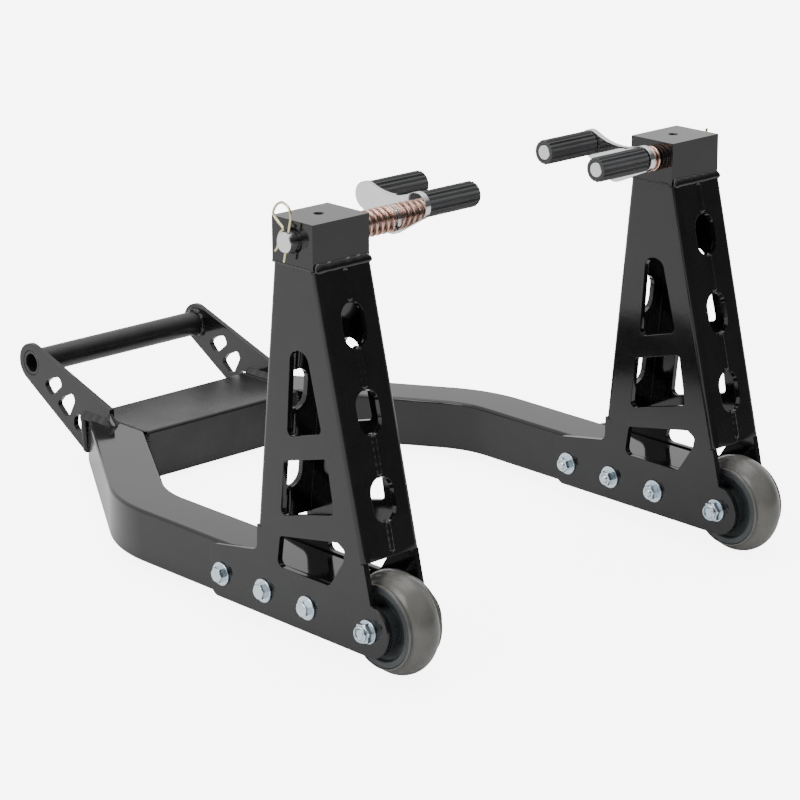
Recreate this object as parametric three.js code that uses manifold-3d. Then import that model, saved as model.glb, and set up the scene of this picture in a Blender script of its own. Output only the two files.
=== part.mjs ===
// A front paddock stand that lifts a motorcycle by its fork: a welded and bolted steel frame on two wheels,
// and on each of its two uprights a sprung, swivelling carrier with a pair of pegs.
// Millimetres. X runs across the stand, left side at -X. Y runs from the wheels to the handle. Z is up.
// The stand is drawn level, with the axle line at Y = 0 and the rails' underside at Z = 0, then tilted about
// the axle line until it rests on its wheels and on the back edge of its crossbar.

import * as THREE from 'three';
import { mergeVertices } from 'three/addons/utils/BufferGeometryUtils.js';
import Module from 'manifold-3d';

// Frame
const TRACK = 347; // between the middles of the two uprights
const GAP = 0.3; // between pieces that meet
const RAIL_WIDTH = 40.4;
const RAIL_HEIGHT = 40;
const RAIL_WALL = 3;
const RAIL_FRONT_Y = 44;
const BEND_ANGLE = THREE.MathUtils.degToRad(32);
const BEND_RADIUS = 95; // of the rail's centre line
const BEND_CORNER_Y = 274.5; // where the straight centre lines would meet
const CROSSBAR_HALF_LENGTH = 77.5;
const CROSSBAR_FRONT_Y = 386.5;
const CROSSBAR_BACK_Y = 456.5;

// Handle
const ARM_THICKNESS = 4.5;
const ARM_OUTER_X = 87.5;
const EYE_Y = 522.5;
const EYE_Z = 68.5;
const EYE_RADIUS = 16;
const ARM_FRONT = { y: 421, z: 52 };
const ARM_TOE_Z = 11;
const HANDLE_RADIUS = 10;
const HANDLE_BORE = 7.4;
const ARM_HOLE_CORNER = 3;
const ARM_HOLES = [
  [[506, 55], [498.5, 47.5], [493, 49.5], [482.5, 58], [486, 64.5], [497.5, 61]],
  [[489.5, 42], [479.5, 33.5], [473.5, 36], [466, 49], [469, 55], [483, 48.5]],
  [[468.5, 29.5], [465, 24.5], [455, 26], [455, 38], [463, 39.5], [467, 36]],
];

// Wheels
const AXLE_Z = 19.5;
const WHEEL_RADIUS = 36.5;
const TYRE_HALF_WIDTH = 15.5;
const CROWN_RADIUS = 14; // of the tread's round section
const CROWN_ANGLE = THREE.MathUtils.degToRad(62);
const TYRE_LIP_RADIUS = 29;
const RIM_RADIUS = 28.5;
const HUB = { rimWall: 5.4, rimHalf: 15, webHalf: 8, barrel: 13, barrelHalf: 18, bore: 7.6 };
const SLEEVE = { radius: 7.3, bore: 4.5 };

// Uprights
const UPRIGHT_WIDTH = 50;
const PLATE = 4.5;
const FOLD_RADIUS = 5;
const UPRIGHT_TOP_Z = 256;
const FLANGE_BOTTOM_Z = 66;
const FRONT_TOP_Y = 47.9;
const FRONT_SLOPE = 0.24; // forward per mm down
const REAR_TOP_Y = 92.2;
const REAR_SLOPE = 0.109; // backward per mm down
const EAR_RADIUS = 18.7; // of the foot's round front end
const FOOT_BOTTOM_Z = AXLE_Z - EAR_RADIUS;
const FOOT_INSET = 2.2; // of the foot's front edge, behind the flange's face
const SLOT = { width: 20, height: 30, first: 217.7, pitch: 57.3, count: 3 };
const WINDOWS = [
  [[79.5, 136.5, 4], [75, 199, 9], [58.5, 199, 9], [44.5, 146.3, 4]],
  [[87.5, 78.5, 4], [83, 118.5, 2.5], [40, 130, 2.5], [33, 92.5, 4]],
  [[92, 41, 5], [88.5, 63.5, 3], [30, 74, 3], [23, 70, 3], [24.5, 62, 3], [38.5, 41, 5]],
];
const FOOT_BACK = [[163.5, FOOT_BOTTOM_Z, 7], [163.5, 38, 3], [158, 39.5], [113.3, 47]];
const HEAD = { length: 41, height: 30.7, middle: 71.2, drilled: 3.4 };

// Fasteners
const FRAME_BOLT = { radius: 3, hole: 3.4, acrossFlats: 10, head: 4, nut: 5, tail: 1.5 };
const AXLE_BOLT = { radius: 4, hole: 4.4, acrossFlats: 13, head: 5.5, nut: 7, tail: 0.5 };
const WASHER = { radius: 8.5, thickness: 1.6 };
const BOLT_ROW = { y: [61.5, 106.5, 151.5], z: 19 };

// Fork carriers
const SPINDLE = { y: 70, z: 273.5, radius: 7, bore: 7.4, past: 8.5 };
const SPRING_LENGTH = 36.7; // from the block to the plate, washer included
const SPRING = { coil: 8.5, wire: 1.1, turns: 6.5 };
const SPRING_WASHER = { radius: 10, bore: 7.4, thickness: 1.2 };
const PEG = { spread: 25.5, rise: 12, reach: 47.5, pin: 5.5, sleeve: 9, flutes: 18, fluteDepth: 0.7 };
const LOBE = { peg: 9.6, spindle: 11, dip: 16.2 };
const CARRIER_PLATE = 4.5;
const CLIP = {
  wire: 1, hole: 1.4, fromEnd: 3, steps: 72,
  path: [
    [2.9, -14], [-0.5, 0], [-3.4, 12], [-4.3, 17], [-3.7, 21.3], [-0.6, 24.7], [4.6, 25.8], [9.9, 23],
    [13, 18.2], [11.5, 14.2], [6.4, 12], [2.9, 10.8], [1.6, 9.4], [3, 8.1], [5.8, 6.3], [7.7, 3.3], [8.3, 0],
    [8.7, -3.2], [9.9, -6.3], [11.7, -8],
  ],
};
const CLIP_TURN = { left: 0, right: Math.PI };
const CARRIER_TILT = { left: THREE.MathUtils.degToRad(-1.5), right: THREE.MathUtils.degToRad(4.8) };

// Sides that stand for a circle
const SIDES = { small: 12, medium: 16, wheel: 24, wire: 5, coil: 10 };

const SIDES_OF_STAND = [{ name: 'left', side: -1 }, { name: 'right', side: 1 }];

const wasm = await Module();
wasm.setup();

const PAINT = { color: 0x1c1d1f, roughness: 0.18, metalness: 0.1 };
const ZINC = { color: 0xcfd8dd, roughness: 0.3, metalness: 1 };
const STEEL = { color: 0xd5d5d8, roughness: 0.22, metalness: 1 };
const COPPER = { color: 0xc98d78, roughness: 0.25, metalness: 1 };
const PALE_GOLD = { color: 0xd9d2a0, roughness: 0.3, metalness: 1 };
const SATIN_PAINT = { color: 0x232426, roughness: 0.45, metalness: 0.1 };
const BLACK_RUBBER = { color: 0x2b2c2e, roughness: 0.6, metalness: 0 };
const GREY_TYRE = { color: 0x6b6a65, roughness: 0.45, metalness: 0 };
const HUB_PLASTIC = { color: 0x1f2423, roughness: 0.5, metalness: 0 };

const stand = new THREE.Group();

// ---- Solids ----

function solid(geometry) {
  const bare = geometry.clone();
  bare.deleteAttribute('normal');
  bare.deleteAttribute('uv');
  const merged = mergeVertices(bare, 1e-4);
  return new wasm.Manifold(new wasm.Mesh({
    numProp: 3,
    vertProperties: new Float32Array(merged.attributes.position.array),
    triVerts: new Uint32Array(merged.index.array),
  }));
}

function geometryOf(manifold) {
  const mesh = manifold.getMesh();
  const geometry = new THREE.BufferGeometry();
  geometry.setAttribute('position', new THREE.BufferAttribute(mesh.vertProperties, 3));
  geometry.setIndex(new THREE.BufferAttribute(mesh.triVerts, 1));
  geometry.computeVertexNormals();
  return geometry;
}

function cut(body, ...tools) {
  return tools.reduce((left, tool) => left.subtract(tool), body);
}

function join(body, ...others) {
  return others.reduce((sum, other) => sum.add(other), body);
}

// ---- Outlines ----

function arcPoints(x, y, radius, from, to, step = Math.PI / 6) {
  const count = Math.max(1, Math.ceil(Math.abs(to - from) / step));
  return Array.from({ length: count + 1 }, (_, i) => {
    const angle = from + (to - from) * i / count;
    return new THREE.Vector2(x + radius * Math.cos(angle), y + radius * Math.sin(angle));
  });
}

// A closed outline through corners [x, y, radius], with each corner rounded.
function rounded(corners, step) {
  return corners.flatMap(([x, y, radius = 0], i) => {
    const here = new THREE.Vector2(x, y);
    if (radius === 0) return [here];
    const before = corners.at(i - 1);
    const after = corners[(i + 1) % corners.length];
    const back = new THREE.Vector2(before[0] - x, before[1] - y).normalize();
    const ahead = new THREE.Vector2(after[0] - x, after[1] - y).normalize();
    const half = Math.acos(THREE.MathUtils.clamp(back.dot(ahead), -1, 1)) / 2;
    const toMiddle = back.clone().add(ahead).normalize().multiplyScalar(radius / Math.sin(half));
    const middle = here.clone().add(toMiddle);
    const start = here.clone().addScaledVector(back, radius / Math.tan(half)).sub(middle).angle();
    const end = here.clone().addScaledVector(ahead, radius / Math.tan(half)).sub(middle).angle();
    let turn = end - start;
    if (turn > Math.PI) turn -= 2 * Math.PI;
    if (turn < -Math.PI) turn += 2 * Math.PI;
    return arcPoints(middle.x, middle.y, radius, start, start + turn, step);
  });
}

function circle(x, y, radius, sides) {
  return arcPoints(x, y, radius, 0, 2 * Math.PI, 2 * Math.PI / sides).slice(0, -1);
}

function extruded(points, depth, holes = []) {
  const shape = new THREE.Shape(points);
  shape.holes = holes.map((hole) => new THREE.Path(hole));
  return new THREE.ExtrudeGeometry(shape, { depth, bevelEnabled: false, steps: 1 });
}

// An outline in (Y, Z), thickened along X from one value to the other.
function acrossX(points, fromX, toX, holes) {
  const low = Math.min(fromX, toX);
  const geometry = extruded(points, Math.abs(toX - fromX), holes);
  const turn = new THREE.Matrix4().set(0, 0, 1, low, 1, 0, 0, 0, 0, 1, 0, 0, 0, 0, 0, 1);
  return geometry.applyMatrix4(turn);
}

// An outline in (X, Y), thickened along Z.
function upZ(points, fromZ, toZ, holes) {
  return extruded(points, toZ - fromZ, holes).translate(0, 0, fromZ);
}

// An outline in (X, Z), thickened along Y.
function alongY(points, fromY, toY) {
  const turn = new THREE.Matrix4().set(1, 0, 0, 0, 0, 0, -1, toY, 0, 1, 0, 0, 0, 0, 0, 1);
  return extruded(points, toY - fromY).applyMatrix4(turn);
}

function rod(y, z, radius, fromX, toX, sides) {
  return acrossX(circle(y, z, radius, sides), fromX, toX);
}

function ring(y, z, radius, bore, fromX, toX, sides) {
  return acrossX(circle(y, z, radius, sides), fromX, toX, [circle(y, z, bore, sides)]);
}

function hexagon(y, z, acrossFlats) {
  return circle(y, z, acrossFlats / Math.sqrt(3), 6);
}

// A profile of [radius, x] turned about the line through (y, z) along X.
function turned(profile, y, z, x, sides) {
  const points = [...profile, profile[0]].map(([radius, along]) => new THREE.Vector2(radius, along));
  return new THREE.LatheGeometry(points, sides).rotateZ(-Math.PI / 2).translate(x, y, z);
}

function addPiece(group, name, geometry, finish) {
  const mesh = new THREE.Mesh(geometry, new THREE.MeshStandardMaterial(finish));
  mesh.name = name;
  group.add(mesh);
}

// ---- Rails, crossbar and handle ----

// The rail's outline seen from above, mitred at the crossbar's end; half is its reach from its centre line.
function railOutline(side, half) {
  const bendY = BEND_CORNER_Y - BEND_RADIUS * Math.tan(BEND_ANGLE / 2);
  const bendX = TRACK / 2 - BEND_RADIUS;
  const outer = arcPoints(bendX, bendY, BEND_RADIUS + half, 0, BEND_ANGLE);
  const inner = arcPoints(bendX, bendY, BEND_RADIUS - half, BEND_ANGLE, 0);
  const mitre = ({ x, y }) => {
    const mitreX = CROSSBAR_HALF_LENGTH + GAP;
    return new THREE.Vector2(mitreX, y + (x - mitreX) / Math.tan(BEND_ANGLE));
  };
  return [
    new THREE.Vector2(TRACK / 2 + half, RAIL_FRONT_Y), ...outer, mitre(outer.at(-1)),
    mitre(inner[0]), ...inner,
    new THREE.Vector2(TRACK / 2 - half, RAIL_FRONT_Y),
  ].map(({ x, y }) => new THREE.Vector2(side * x, y));
}

function box(width, length, height, x, y, z) {
  return solid(new THREE.BoxGeometry(width, length, height).translate(x, y, z));
}

function railGeometry(side) {
  const middleX = side * TRACK / 2;
  const openWidth = RAIL_WIDTH - 2 * RAIL_WALL;
  const openHeight = RAIL_HEIGHT - 2 * RAIL_WALL;
  const outside = solid(upZ(railOutline(side, RAIL_WIDTH / 2), 0, RAIL_HEIGHT));
  const inside = solid(upZ(railOutline(side, openWidth / 2), RAIL_WALL, RAIL_HEIGHT - RAIL_WALL));
  const frontMouth = box(openWidth, openWidth, openHeight, middleX, RAIL_FRONT_Y, RAIL_HEIGHT / 2);
  const behind = box(TRACK, TRACK, TRACK, middleX, CROSSBAR_BACK_Y + TRACK / 2, 0);
  const holes = BOLT_ROW.y.map((y) => (
    solid(rod(y, BOLT_ROW.z, FRAME_BOLT.hole, middleX - RAIL_WIDTH, middleX + RAIL_WIDTH, SIDES.small))
  ));
  return geometryOf(cut(outside, inside, frontMouth, behind, ...holes));
}

function crossbarGeometry() {
  const section = (inset) => rounded([
    [CROSSBAR_FRONT_Y + inset, inset], [CROSSBAR_BACK_Y - inset, inset],
    [CROSSBAR_BACK_Y - inset, RAIL_HEIGHT - inset], [CROSSBAR_FRONT_Y + inset, RAIL_HEIGHT - inset],
  ]);
  return acrossX(section(0), -CROSSBAR_HALF_LENGTH, CROSSBAR_HALF_LENGTH, [section(RAIL_WALL)]);
}

// The angle round the eye at which a straight edge from (y, z) touches it.
function touchAngle(y, z, turn) {
  const towards = Math.atan2(z - EYE_Z, y - EYE_Y);
  return towards + turn * Math.acos(EYE_RADIUS / Math.hypot(y - EYE_Y, z - EYE_Z));
}

// A plate that sits on the rail's top, drops behind the rail's end and widens round the handle tube.
function armGeometry(side) {
  const seatZ = RAIL_HEIGHT + GAP;
  const backY = CROSSBAR_BACK_Y + GAP;
  const lower = touchAngle(backY, ARM_TOE_Z, 1);
  const upper = touchAngle(ARM_FRONT.y, ARM_FRONT.z, -1) + 2 * Math.PI;
  const outline = [
    new THREE.Vector2(ARM_FRONT.y, seatZ), new THREE.Vector2(backY, seatZ),
    new THREE.Vector2(backY, ARM_TOE_Z),
    ...arcPoints(EYE_Y, EYE_Z, EYE_RADIUS, lower, upper),
    new THREE.Vector2(ARM_FRONT.y, ARM_FRONT.z),
  ];
  const outerX = side * ARM_OUTER_X;
  const innerX = side * (ARM_OUTER_X - ARM_THICKNESS);
  const openings = [
    ...ARM_HOLES.map((corners) => rounded(corners.map(([y, z]) => [y, z, ARM_HOLE_CORNER]))),
    circle(EYE_Y, EYE_Z, HANDLE_RADIUS + GAP, SIDES.medium),
  ].map((hole) => solid(acrossX(hole, outerX + side, innerX - side)));
  return geometryOf(cut(solid(acrossX(outline, outerX, innerX)), ...openings));
}

function buildFrame() {
  for (const { name, side } of SIDES_OF_STAND) {
    addPiece(stand, `${name}_rail`, railGeometry(side), PAINT);
    addPiece(stand, `${name}_handle_arm`, armGeometry(side), PAINT);
  }
  addPiece(stand, 'crossbar', crossbarGeometry(), PAINT);
  const tube = ring(EYE_Y, EYE_Z, HANDLE_RADIUS, HANDLE_BORE, -ARM_OUTER_X, ARM_OUTER_X, SIDES.medium);
  addPiece(stand, 'handle_tube', tube, SATIN_PAINT);
}

// ---- Uprights ----

const frontY = (z) => FRONT_TOP_Y - FRONT_SLOPE * (UPRIGHT_TOP_Z - z);
const rearY = (z) => REAR_TOP_Y + REAR_SLOPE * (UPRIGHT_TOP_Z - z);

// The folded part of one half: a channel, open at the seam, whose flanges lean apart towards the foot.
function channel(middleX, out) {
  const half = UPRIGHT_WIDTH / 2;
  const inside = FOLD_RADIUS - PLATE;
  const section = rounded([
    [GAP / 2, FRONT_TOP_Y], [half, FRONT_TOP_Y, FOLD_RADIUS],
    [half, REAR_TOP_Y, FOLD_RADIUS], [GAP / 2, REAR_TOP_Y],
    [GAP / 2, REAR_TOP_Y - PLATE], [half - PLATE, REAR_TOP_Y - PLATE, inside],
    [half - PLATE, FRONT_TOP_Y + PLATE, inside], [GAP / 2, FRONT_TOP_Y + PLATE],
  ]).map(({ x, y }) => new THREE.Vector2(middleX + out * x, y));
  const geometry = upZ(section, FLANGE_BOTTOM_Z, UPRIGHT_TOP_Z);
  const position = geometry.attributes.position;
  const middleY = (FRONT_TOP_Y + REAR_TOP_Y) / 2;
  for (let i = 0; i < position.count; i += 1) {
    const y = position.getY(i);
    const z = position.getZ(i);
    const lean = y < middleY ? frontY(z) - FRONT_TOP_Y : rearY(z) - REAR_TOP_Y;
    position.setY(i, y + lean);
  }
  return solid(geometry);
}

// The flat part of one half, which holds the wheel's axle in front and the rail behind.
function foot(middleX, out) {
  const earTop = Math.acos((frontY(AXLE_Z + EAR_RADIUS) + FOOT_INSET) / EAR_RADIUS);
  const overlap = FOLD_RADIUS;
  const outline = [
    new THREE.Vector2(rearY(FLANGE_BOTTOM_Z), FLANGE_BOTTOM_Z),
    new THREE.Vector2(rearY(FLANGE_BOTTOM_Z) - overlap, FLANGE_BOTTOM_Z),
    new THREE.Vector2(rearY(FLANGE_BOTTOM_Z) - overlap, FLANGE_BOTTOM_Z + overlap),
    new THREE.Vector2(frontY(FLANGE_BOTTOM_Z) + overlap, FLANGE_BOTTOM_Z + overlap),
    new THREE.Vector2(frontY(FLANGE_BOTTOM_Z) + overlap, FLANGE_BOTTOM_Z),
    new THREE.Vector2(frontY(FLANGE_BOTTOM_Z) + FOOT_INSET, FLANGE_BOTTOM_Z),
    ...arcPoints(0, AXLE_Z, EAR_RADIUS, earTop, 3 * Math.PI / 2),
    ...rounded([[0, FOOT_BOTTOM_Z], ...FOOT_BACK]).slice(1),
  ];
  const outerX = middleX + out * UPRIGHT_WIDTH / 2;
  return solid(acrossX(outline, outerX - out * PLATE, outerX));
}

function uprightHalf(middleX, out) {
  const farX = middleX + out * UPRIGHT_WIDTH;
  const through = (outline) => solid(acrossX(outline, middleX + out * FOLD_RADIUS, farX));
  const windows = WINDOWS.map((corners) => through(rounded(corners)));
  const slots = Array.from({ length: SLOT.count }, (_, i) => {
    const straight = (SLOT.height - SLOT.width) / 2;
    const z = SLOT.first - i * SLOT.pitch;
    const outline = [
      ...arcPoints(middleX, z + straight, SLOT.width / 2, 0, Math.PI),
      ...arcPoints(middleX, z - straight, SLOT.width / 2, Math.PI, 2 * Math.PI),
    ];
    return solid(alongY(outline, frontY(0), rearY(0)));
  });
  const axleHole = through(circle(0, AXLE_Z, AXLE_BOLT.hole, SIDES.small));
  const boltHoles = BOLT_ROW.y.map((y) => through(circle(y, BOLT_ROW.z, FRAME_BOLT.hole, SIDES.small)));
  const plate = join(channel(middleX, out), foot(middleX, out));
  return geometryOf(cut(plate, ...windows, ...slots, axleHole, ...boltHoles));
}

function headBlock(middleX) {
  const bottomZ = UPRIGHT_TOP_Z + GAP;
  const { length, height, middle } = HEAD;
  const block = box(UPRIGHT_WIDTH, length, height, middleX, middle, bottomZ + height / 2);
  const [lowX, highX] = [middleX - UPRIGHT_WIDTH, middleX + UPRIGHT_WIDTH];
  const bore = solid(rod(SPINDLE.y, SPINDLE.z, SPINDLE.bore, lowX, highX, SIDES.medium));
  const drilled = circle(middleX, middle, HEAD.drilled, SIDES.small);
  return geometryOf(cut(block, bore, solid(upZ(drilled, SPINDLE.z, bottomZ + 2 * height))));
}

// A bolt across an upright, with its washer under its head. The head is towards +X when headward is 1.
function boltGeometry(bolt, middleX, headward, y, z) {
  const face = middleX + headward * (UPRIGHT_WIDTH / 2 + GAP);
  const top = face + headward * WASHER.thickness;
  const tip = middleX - headward * (UPRIGHT_WIDTH / 2 + GAP + WASHER.thickness + bolt.nut + bolt.tail);
  const washer = solid(rod(y, z, WASHER.radius, face, top, SIDES.medium));
  const head = solid(acrossX(hexagon(y, z, bolt.acrossFlats), face, top + headward * bolt.head));
  const shank = solid(rod(y, z, bolt.radius, top, tip, SIDES.small));
  return geometryOf(join(washer, head, shank));
}

// The nut on that bolt, with its own washer.
function nutGeometry(bolt, middleX, headward, y, z) {
  const face = middleX - headward * (UPRIGHT_WIDTH / 2 + GAP);
  const top = face - headward * WASHER.thickness;
  const washer = solid(rod(y, z, WASHER.radius, face, top, SIDES.medium));
  const nut = solid(acrossX(hexagon(y, z, bolt.acrossFlats), face, top - headward * bolt.nut));
  const bore = solid(rod(y, z, bolt.hole, middleX, middleX - headward * UPRIGHT_WIDTH, SIDES.small));
  return geometryOf(cut(join(washer, nut), bore));
}

function buildUpright(name, side, middleX) {
  addPiece(stand, `${name}_upright_outer`, uprightHalf(middleX, side), PAINT);
  addPiece(stand, `${name}_upright_inner`, uprightHalf(middleX, -side), PAINT);
  addPiece(stand, `${name}_head_block`, headBlock(middleX), PAINT);
  BOLT_ROW.y.forEach((y, i) => {
    const place = [FRAME_BOLT, middleX, side, y, BOLT_ROW.z];
    addPiece(stand, `${name}_frame_bolt_${i + 1}`, boltGeometry(...place), ZINC);
    addPiece(stand, `${name}_frame_nut_${i + 1}`, nutGeometry(...place), ZINC);
  });
}

// ---- Wheels ----

function tyreGeometry(middleX) {
  const crown = arcPoints(WHEEL_RADIUS - CROWN_RADIUS, 0, CROWN_RADIUS, -CROWN_ANGLE, CROWN_ANGLE);
  const profile = [
    [RIM_RADIUS, TYRE_HALF_WIDTH], [RIM_RADIUS, -TYRE_HALF_WIDTH],
    [TYRE_LIP_RADIUS, -TYRE_HALF_WIDTH], ...crown.map(({ x, y }) => [x, y]),
    [TYRE_LIP_RADIUS, TYRE_HALF_WIDTH],
  ];
  return turned(profile, 0, AXLE_Z, middleX, SIDES.wheel);
}

function hubGeometry(middleX) {
  const rim = RIM_RADIUS - GAP;
  const rimInside = rim - HUB.rimWall;
  const profile = [
    [rim, HUB.rimHalf], [rimInside, HUB.rimHalf], [rimInside, HUB.webHalf], [HUB.barrel, HUB.webHalf],
    [HUB.barrel, HUB.barrelHalf], [HUB.bore, HUB.barrelHalf],
  ];
  const mirrored = profile.map(([radius, x]) => [radius, -x]).reverse();
  return turned([...profile, ...mirrored], 0, AXLE_Z, middleX, SIDES.wheel);
}

function buildWheel(name, middleX) {
  const insideHalf = UPRIGHT_WIDTH / 2 - PLATE - GAP;
  const [lowX, highX] = [middleX - insideHalf, middleX + insideHalf];
  const sleeve = ring(0, AXLE_Z, SLEEVE.radius, SLEEVE.bore, lowX, highX, SIDES.medium);
  addPiece(stand, `${name}_tyre`, tyreGeometry(middleX), GREY_TYRE);
  addPiece(stand, `${name}_wheel_hub`, hubGeometry(middleX), HUB_PLASTIC);
  addPiece(stand, `${name}_axle_sleeve`, sleeve, STEEL);
  addPiece(stand, `${name}_axle_bolt`, boltGeometry(AXLE_BOLT, middleX, 1, 0, AXLE_Z), ZINC);
  addPiece(stand, `${name}_axle_nut`, nutGeometry(AXLE_BOLT, middleX, 1, 0, AXLE_Z), ZINC);
}

// ---- Fork carriers ----

// A plate with a lobe round each peg and one round the spindle, in (Y, Z) about the spindle's axis.
function forkPlateOutline() {
  const { spread, rise } = PEG;
  const apart = Math.hypot(spread, rise);
  const lowerEdge = Math.atan2(rise, spread) - Math.acos((LOBE.spindle - LOBE.peg) / apart);
  const drop = LOBE.dip - rise;
  const dipRadius = (spread ** 2 + drop ** 2 - LOBE.peg ** 2) / (2 * (LOBE.peg - drop));
  const dipHalf = Math.asin(spread / (LOBE.peg + dipRadius));
  const dipZ = LOBE.dip + dipRadius;
  return [
    ...arcPoints(0, 0, LOBE.spindle, Math.PI - lowerEdge, 2 * Math.PI + lowerEdge),
    ...arcPoints(spread, rise, LOBE.peg, lowerEdge, Math.PI / 2 + dipHalf),
    ...arcPoints(0, dipZ, dipRadius, 3 * Math.PI / 2 + dipHalf, 3 * Math.PI / 2 - dipHalf),
    ...arcPoints(-spread, rise, LOBE.peg, Math.PI / 2 - dipHalf, Math.PI - lowerEdge),
  ];
}

// A sleeve's fluted outline about (y, z): a ridge and a groove in turn.
function flutedOutline(y, z) {
  return Array.from({ length: 2 * PEG.flutes }, (_, i) => {
    const angle = Math.PI * i / PEG.flutes;
    const radius = i % 2 ? PEG.sleeve - PEG.fluteDepth : PEG.sleeve;
    return new THREE.Vector2(y + radius * Math.cos(angle), z + radius * Math.sin(angle));
  });
}

function springGeometry(fromX, toX) {
  const start = Math.min(fromX, toX) + SPRING.wire;
  const length = Math.abs(toX - fromX) - 2 * SPRING.wire;
  class Coil extends THREE.Curve {
    getPoint(t) {
      const angle = 2 * Math.PI * SPRING.turns * t;
      const [y, z] = [SPRING.coil * Math.cos(angle), SPRING.coil * Math.sin(angle)];
      return new THREE.Vector3(start + length * t, y, z);
    }
  }
  const wire = new THREE.Shape(circle(0, 0, SPRING.wire, SIDES.wire));
  return new THREE.ExtrudeGeometry(wire, { extrudePath: new Coil(), steps: SPRING.turns * SIDES.coil });
}

function clipGeometry(x) {
  const bend = new THREE.CatmullRomCurve3(CLIP.path.map(([y, z]) => new THREE.Vector3(x, y, z)));
  const wire = new THREE.Shape(circle(0, 0, CLIP.wire, SIDES.wire));
  return new THREE.ExtrudeGeometry(wire, { extrudePath: bend, steps: CLIP.steps });
}

// The hole that the clip's straight leg goes through, along that leg.
function clipHole(x) {
  const [[lowY, lowZ], [middleY, middleZ]] = CLIP.path;
  const hole = new THREE.CylinderGeometry(CLIP.hole, CLIP.hole, 4 * SPINDLE.radius, SIDES.small);
  return hole.rotateX(Math.atan2(middleZ - lowZ, middleY - lowY)).translate(x, middleY, middleZ);
}

function buildCarrier(name, side, middleX) {
  const along = (distance) => middleX - side * (UPRIGHT_WIDTH / 2 + distance);
  const plateOuter = along(SPRING_LENGTH);
  const plateInner = along(SPRING_LENGTH + CARRIER_PLATE);
  const pegEnd = along(SPRING_LENGTH + CARRIER_PLATE + PEG.reach);
  const spindleEnd = middleX + side * (UPRIGHT_WIDTH / 2 + SPINDLE.past);
  const washerFace = along(SPRING_LENGTH - GAP - SPRING_WASHER.thickness);

  const axis = new THREE.Group();
  axis.position.set(0, SPINDLE.y, SPINDLE.z);
  stand.add(axis);
  const tilted = new THREE.Group();
  tilted.rotation.x = CARRIER_TILT[name];
  axis.add(tilted);

  const clipX = spindleEnd - side * CLIP.fromEnd;
  const clipTurn = CLIP_TURN[name];
  const shaft = solid(rod(0, 0, SPINDLE.radius, spindleEnd, plateInner, SIDES.medium));
  const drilledShaft = cut(shaft, solid(clipHole(clipX).rotateX(clipTurn)));
  addPiece(axis, `${name}_spindle`, geometryOf(drilledShaft), STEEL);
  addPiece(axis, `${name}_r_clip`, clipGeometry(clipX).rotateX(clipTurn), PALE_GOLD);
  addPiece(axis, `${name}_spring`, springGeometry(along(GAP), washerFace + side * GAP), COPPER);
  const { radius, bore } = SPRING_WASHER;
  const washer = ring(0, 0, radius, bore, washerFace, plateOuter + side * GAP, SIDES.medium);
  addPiece(axis, `${name}_spring_washer`, washer, STEEL);

  const seat = circle(0, 0, SPINDLE.radius + GAP, SIDES.medium);
  const plate = acrossX(forkPlateOutline(), plateOuter, plateInner, [seat]);
  addPiece(tilted, `${name}_fork_plate`, plate, STEEL);
  for (const [place, y] of [['front', -PEG.spread], ['rear', PEG.spread]]) {
    const pin = rod(y, PEG.rise, PEG.pin, plateInner - side * GAP, pegEnd, SIDES.medium);
    const bore = circle(y, PEG.rise, PEG.pin + GAP, SIDES.medium);
    const sleeve = acrossX(flutedOutline(y, PEG.rise), plateInner - side * 2 * GAP, pegEnd, [bore]);
    addPiece(tilted, `${name}_${place}_peg_pin`, pin, STEEL);
    addPiece(tilted, `${name}_${place}_peg_sleeve`, sleeve, BLACK_RUBBER);
  }
}

// ---- The whole stand, tilted and moved until it rests on the floor ----

buildFrame();
for (const { name, side } of SIDES_OF_STAND) {
  const middleX = side * TRACK / 2;
  buildUpright(name, side, middleX);
  buildWheel(name, middleX);
  buildCarrier(name, side, middleX);
}

// Turned by this much, the wheels' lowest line and the crossbar's back edge both touch the floor.
const edgeDistance = Math.hypot(CROSSBAR_BACK_Y, AXLE_Z);
const tilt = Math.asin(WHEEL_RADIUS / edgeDistance) - Math.atan2(AXLE_Z, CROSSBAR_BACK_Y);
stand.rotation.x = -tilt;
const axle = new THREE.Vector3(0, 0, AXLE_Z).applyEuler(stand.rotation);
const eye = new THREE.Vector3(0, EYE_Y, EYE_Z).applyEuler(stand.rotation);
const foremostY = axle.y - WHEEL_RADIUS;
const rearmostY = eye.y + EYE_RADIUS;
stand.position.set(0, -(foremostY + rearmostY) / 2, WHEEL_RADIUS - axle.z);

export default stand;
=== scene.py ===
# Looks of the front paddock stand. Every shape is drawn in millimetres on the level stand, with the axle
# line at Y = 0 and the rails' underside at Z = 0, and then put where the stand rests, in metres.
import bmesh
import bpy
import math
import random
from mathutils import Matrix, Vector, noise


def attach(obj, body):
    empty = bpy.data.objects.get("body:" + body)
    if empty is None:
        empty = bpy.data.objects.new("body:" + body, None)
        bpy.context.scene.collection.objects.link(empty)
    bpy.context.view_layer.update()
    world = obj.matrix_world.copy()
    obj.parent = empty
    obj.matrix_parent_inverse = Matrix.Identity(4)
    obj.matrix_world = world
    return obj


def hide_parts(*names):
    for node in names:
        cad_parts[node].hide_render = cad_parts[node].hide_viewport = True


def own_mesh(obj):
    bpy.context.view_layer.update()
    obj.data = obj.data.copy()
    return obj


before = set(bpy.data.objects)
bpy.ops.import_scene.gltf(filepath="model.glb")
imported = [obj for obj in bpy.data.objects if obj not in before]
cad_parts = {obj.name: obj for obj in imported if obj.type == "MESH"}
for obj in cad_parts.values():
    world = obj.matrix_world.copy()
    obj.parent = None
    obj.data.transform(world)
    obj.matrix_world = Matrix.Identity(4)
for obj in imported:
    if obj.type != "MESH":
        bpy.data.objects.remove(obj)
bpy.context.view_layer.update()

# ---- Light, as strengths ----
FLOOR_GLOW = 6
BACKDROP = 1.2
OVERHEAD = 0.8
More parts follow.
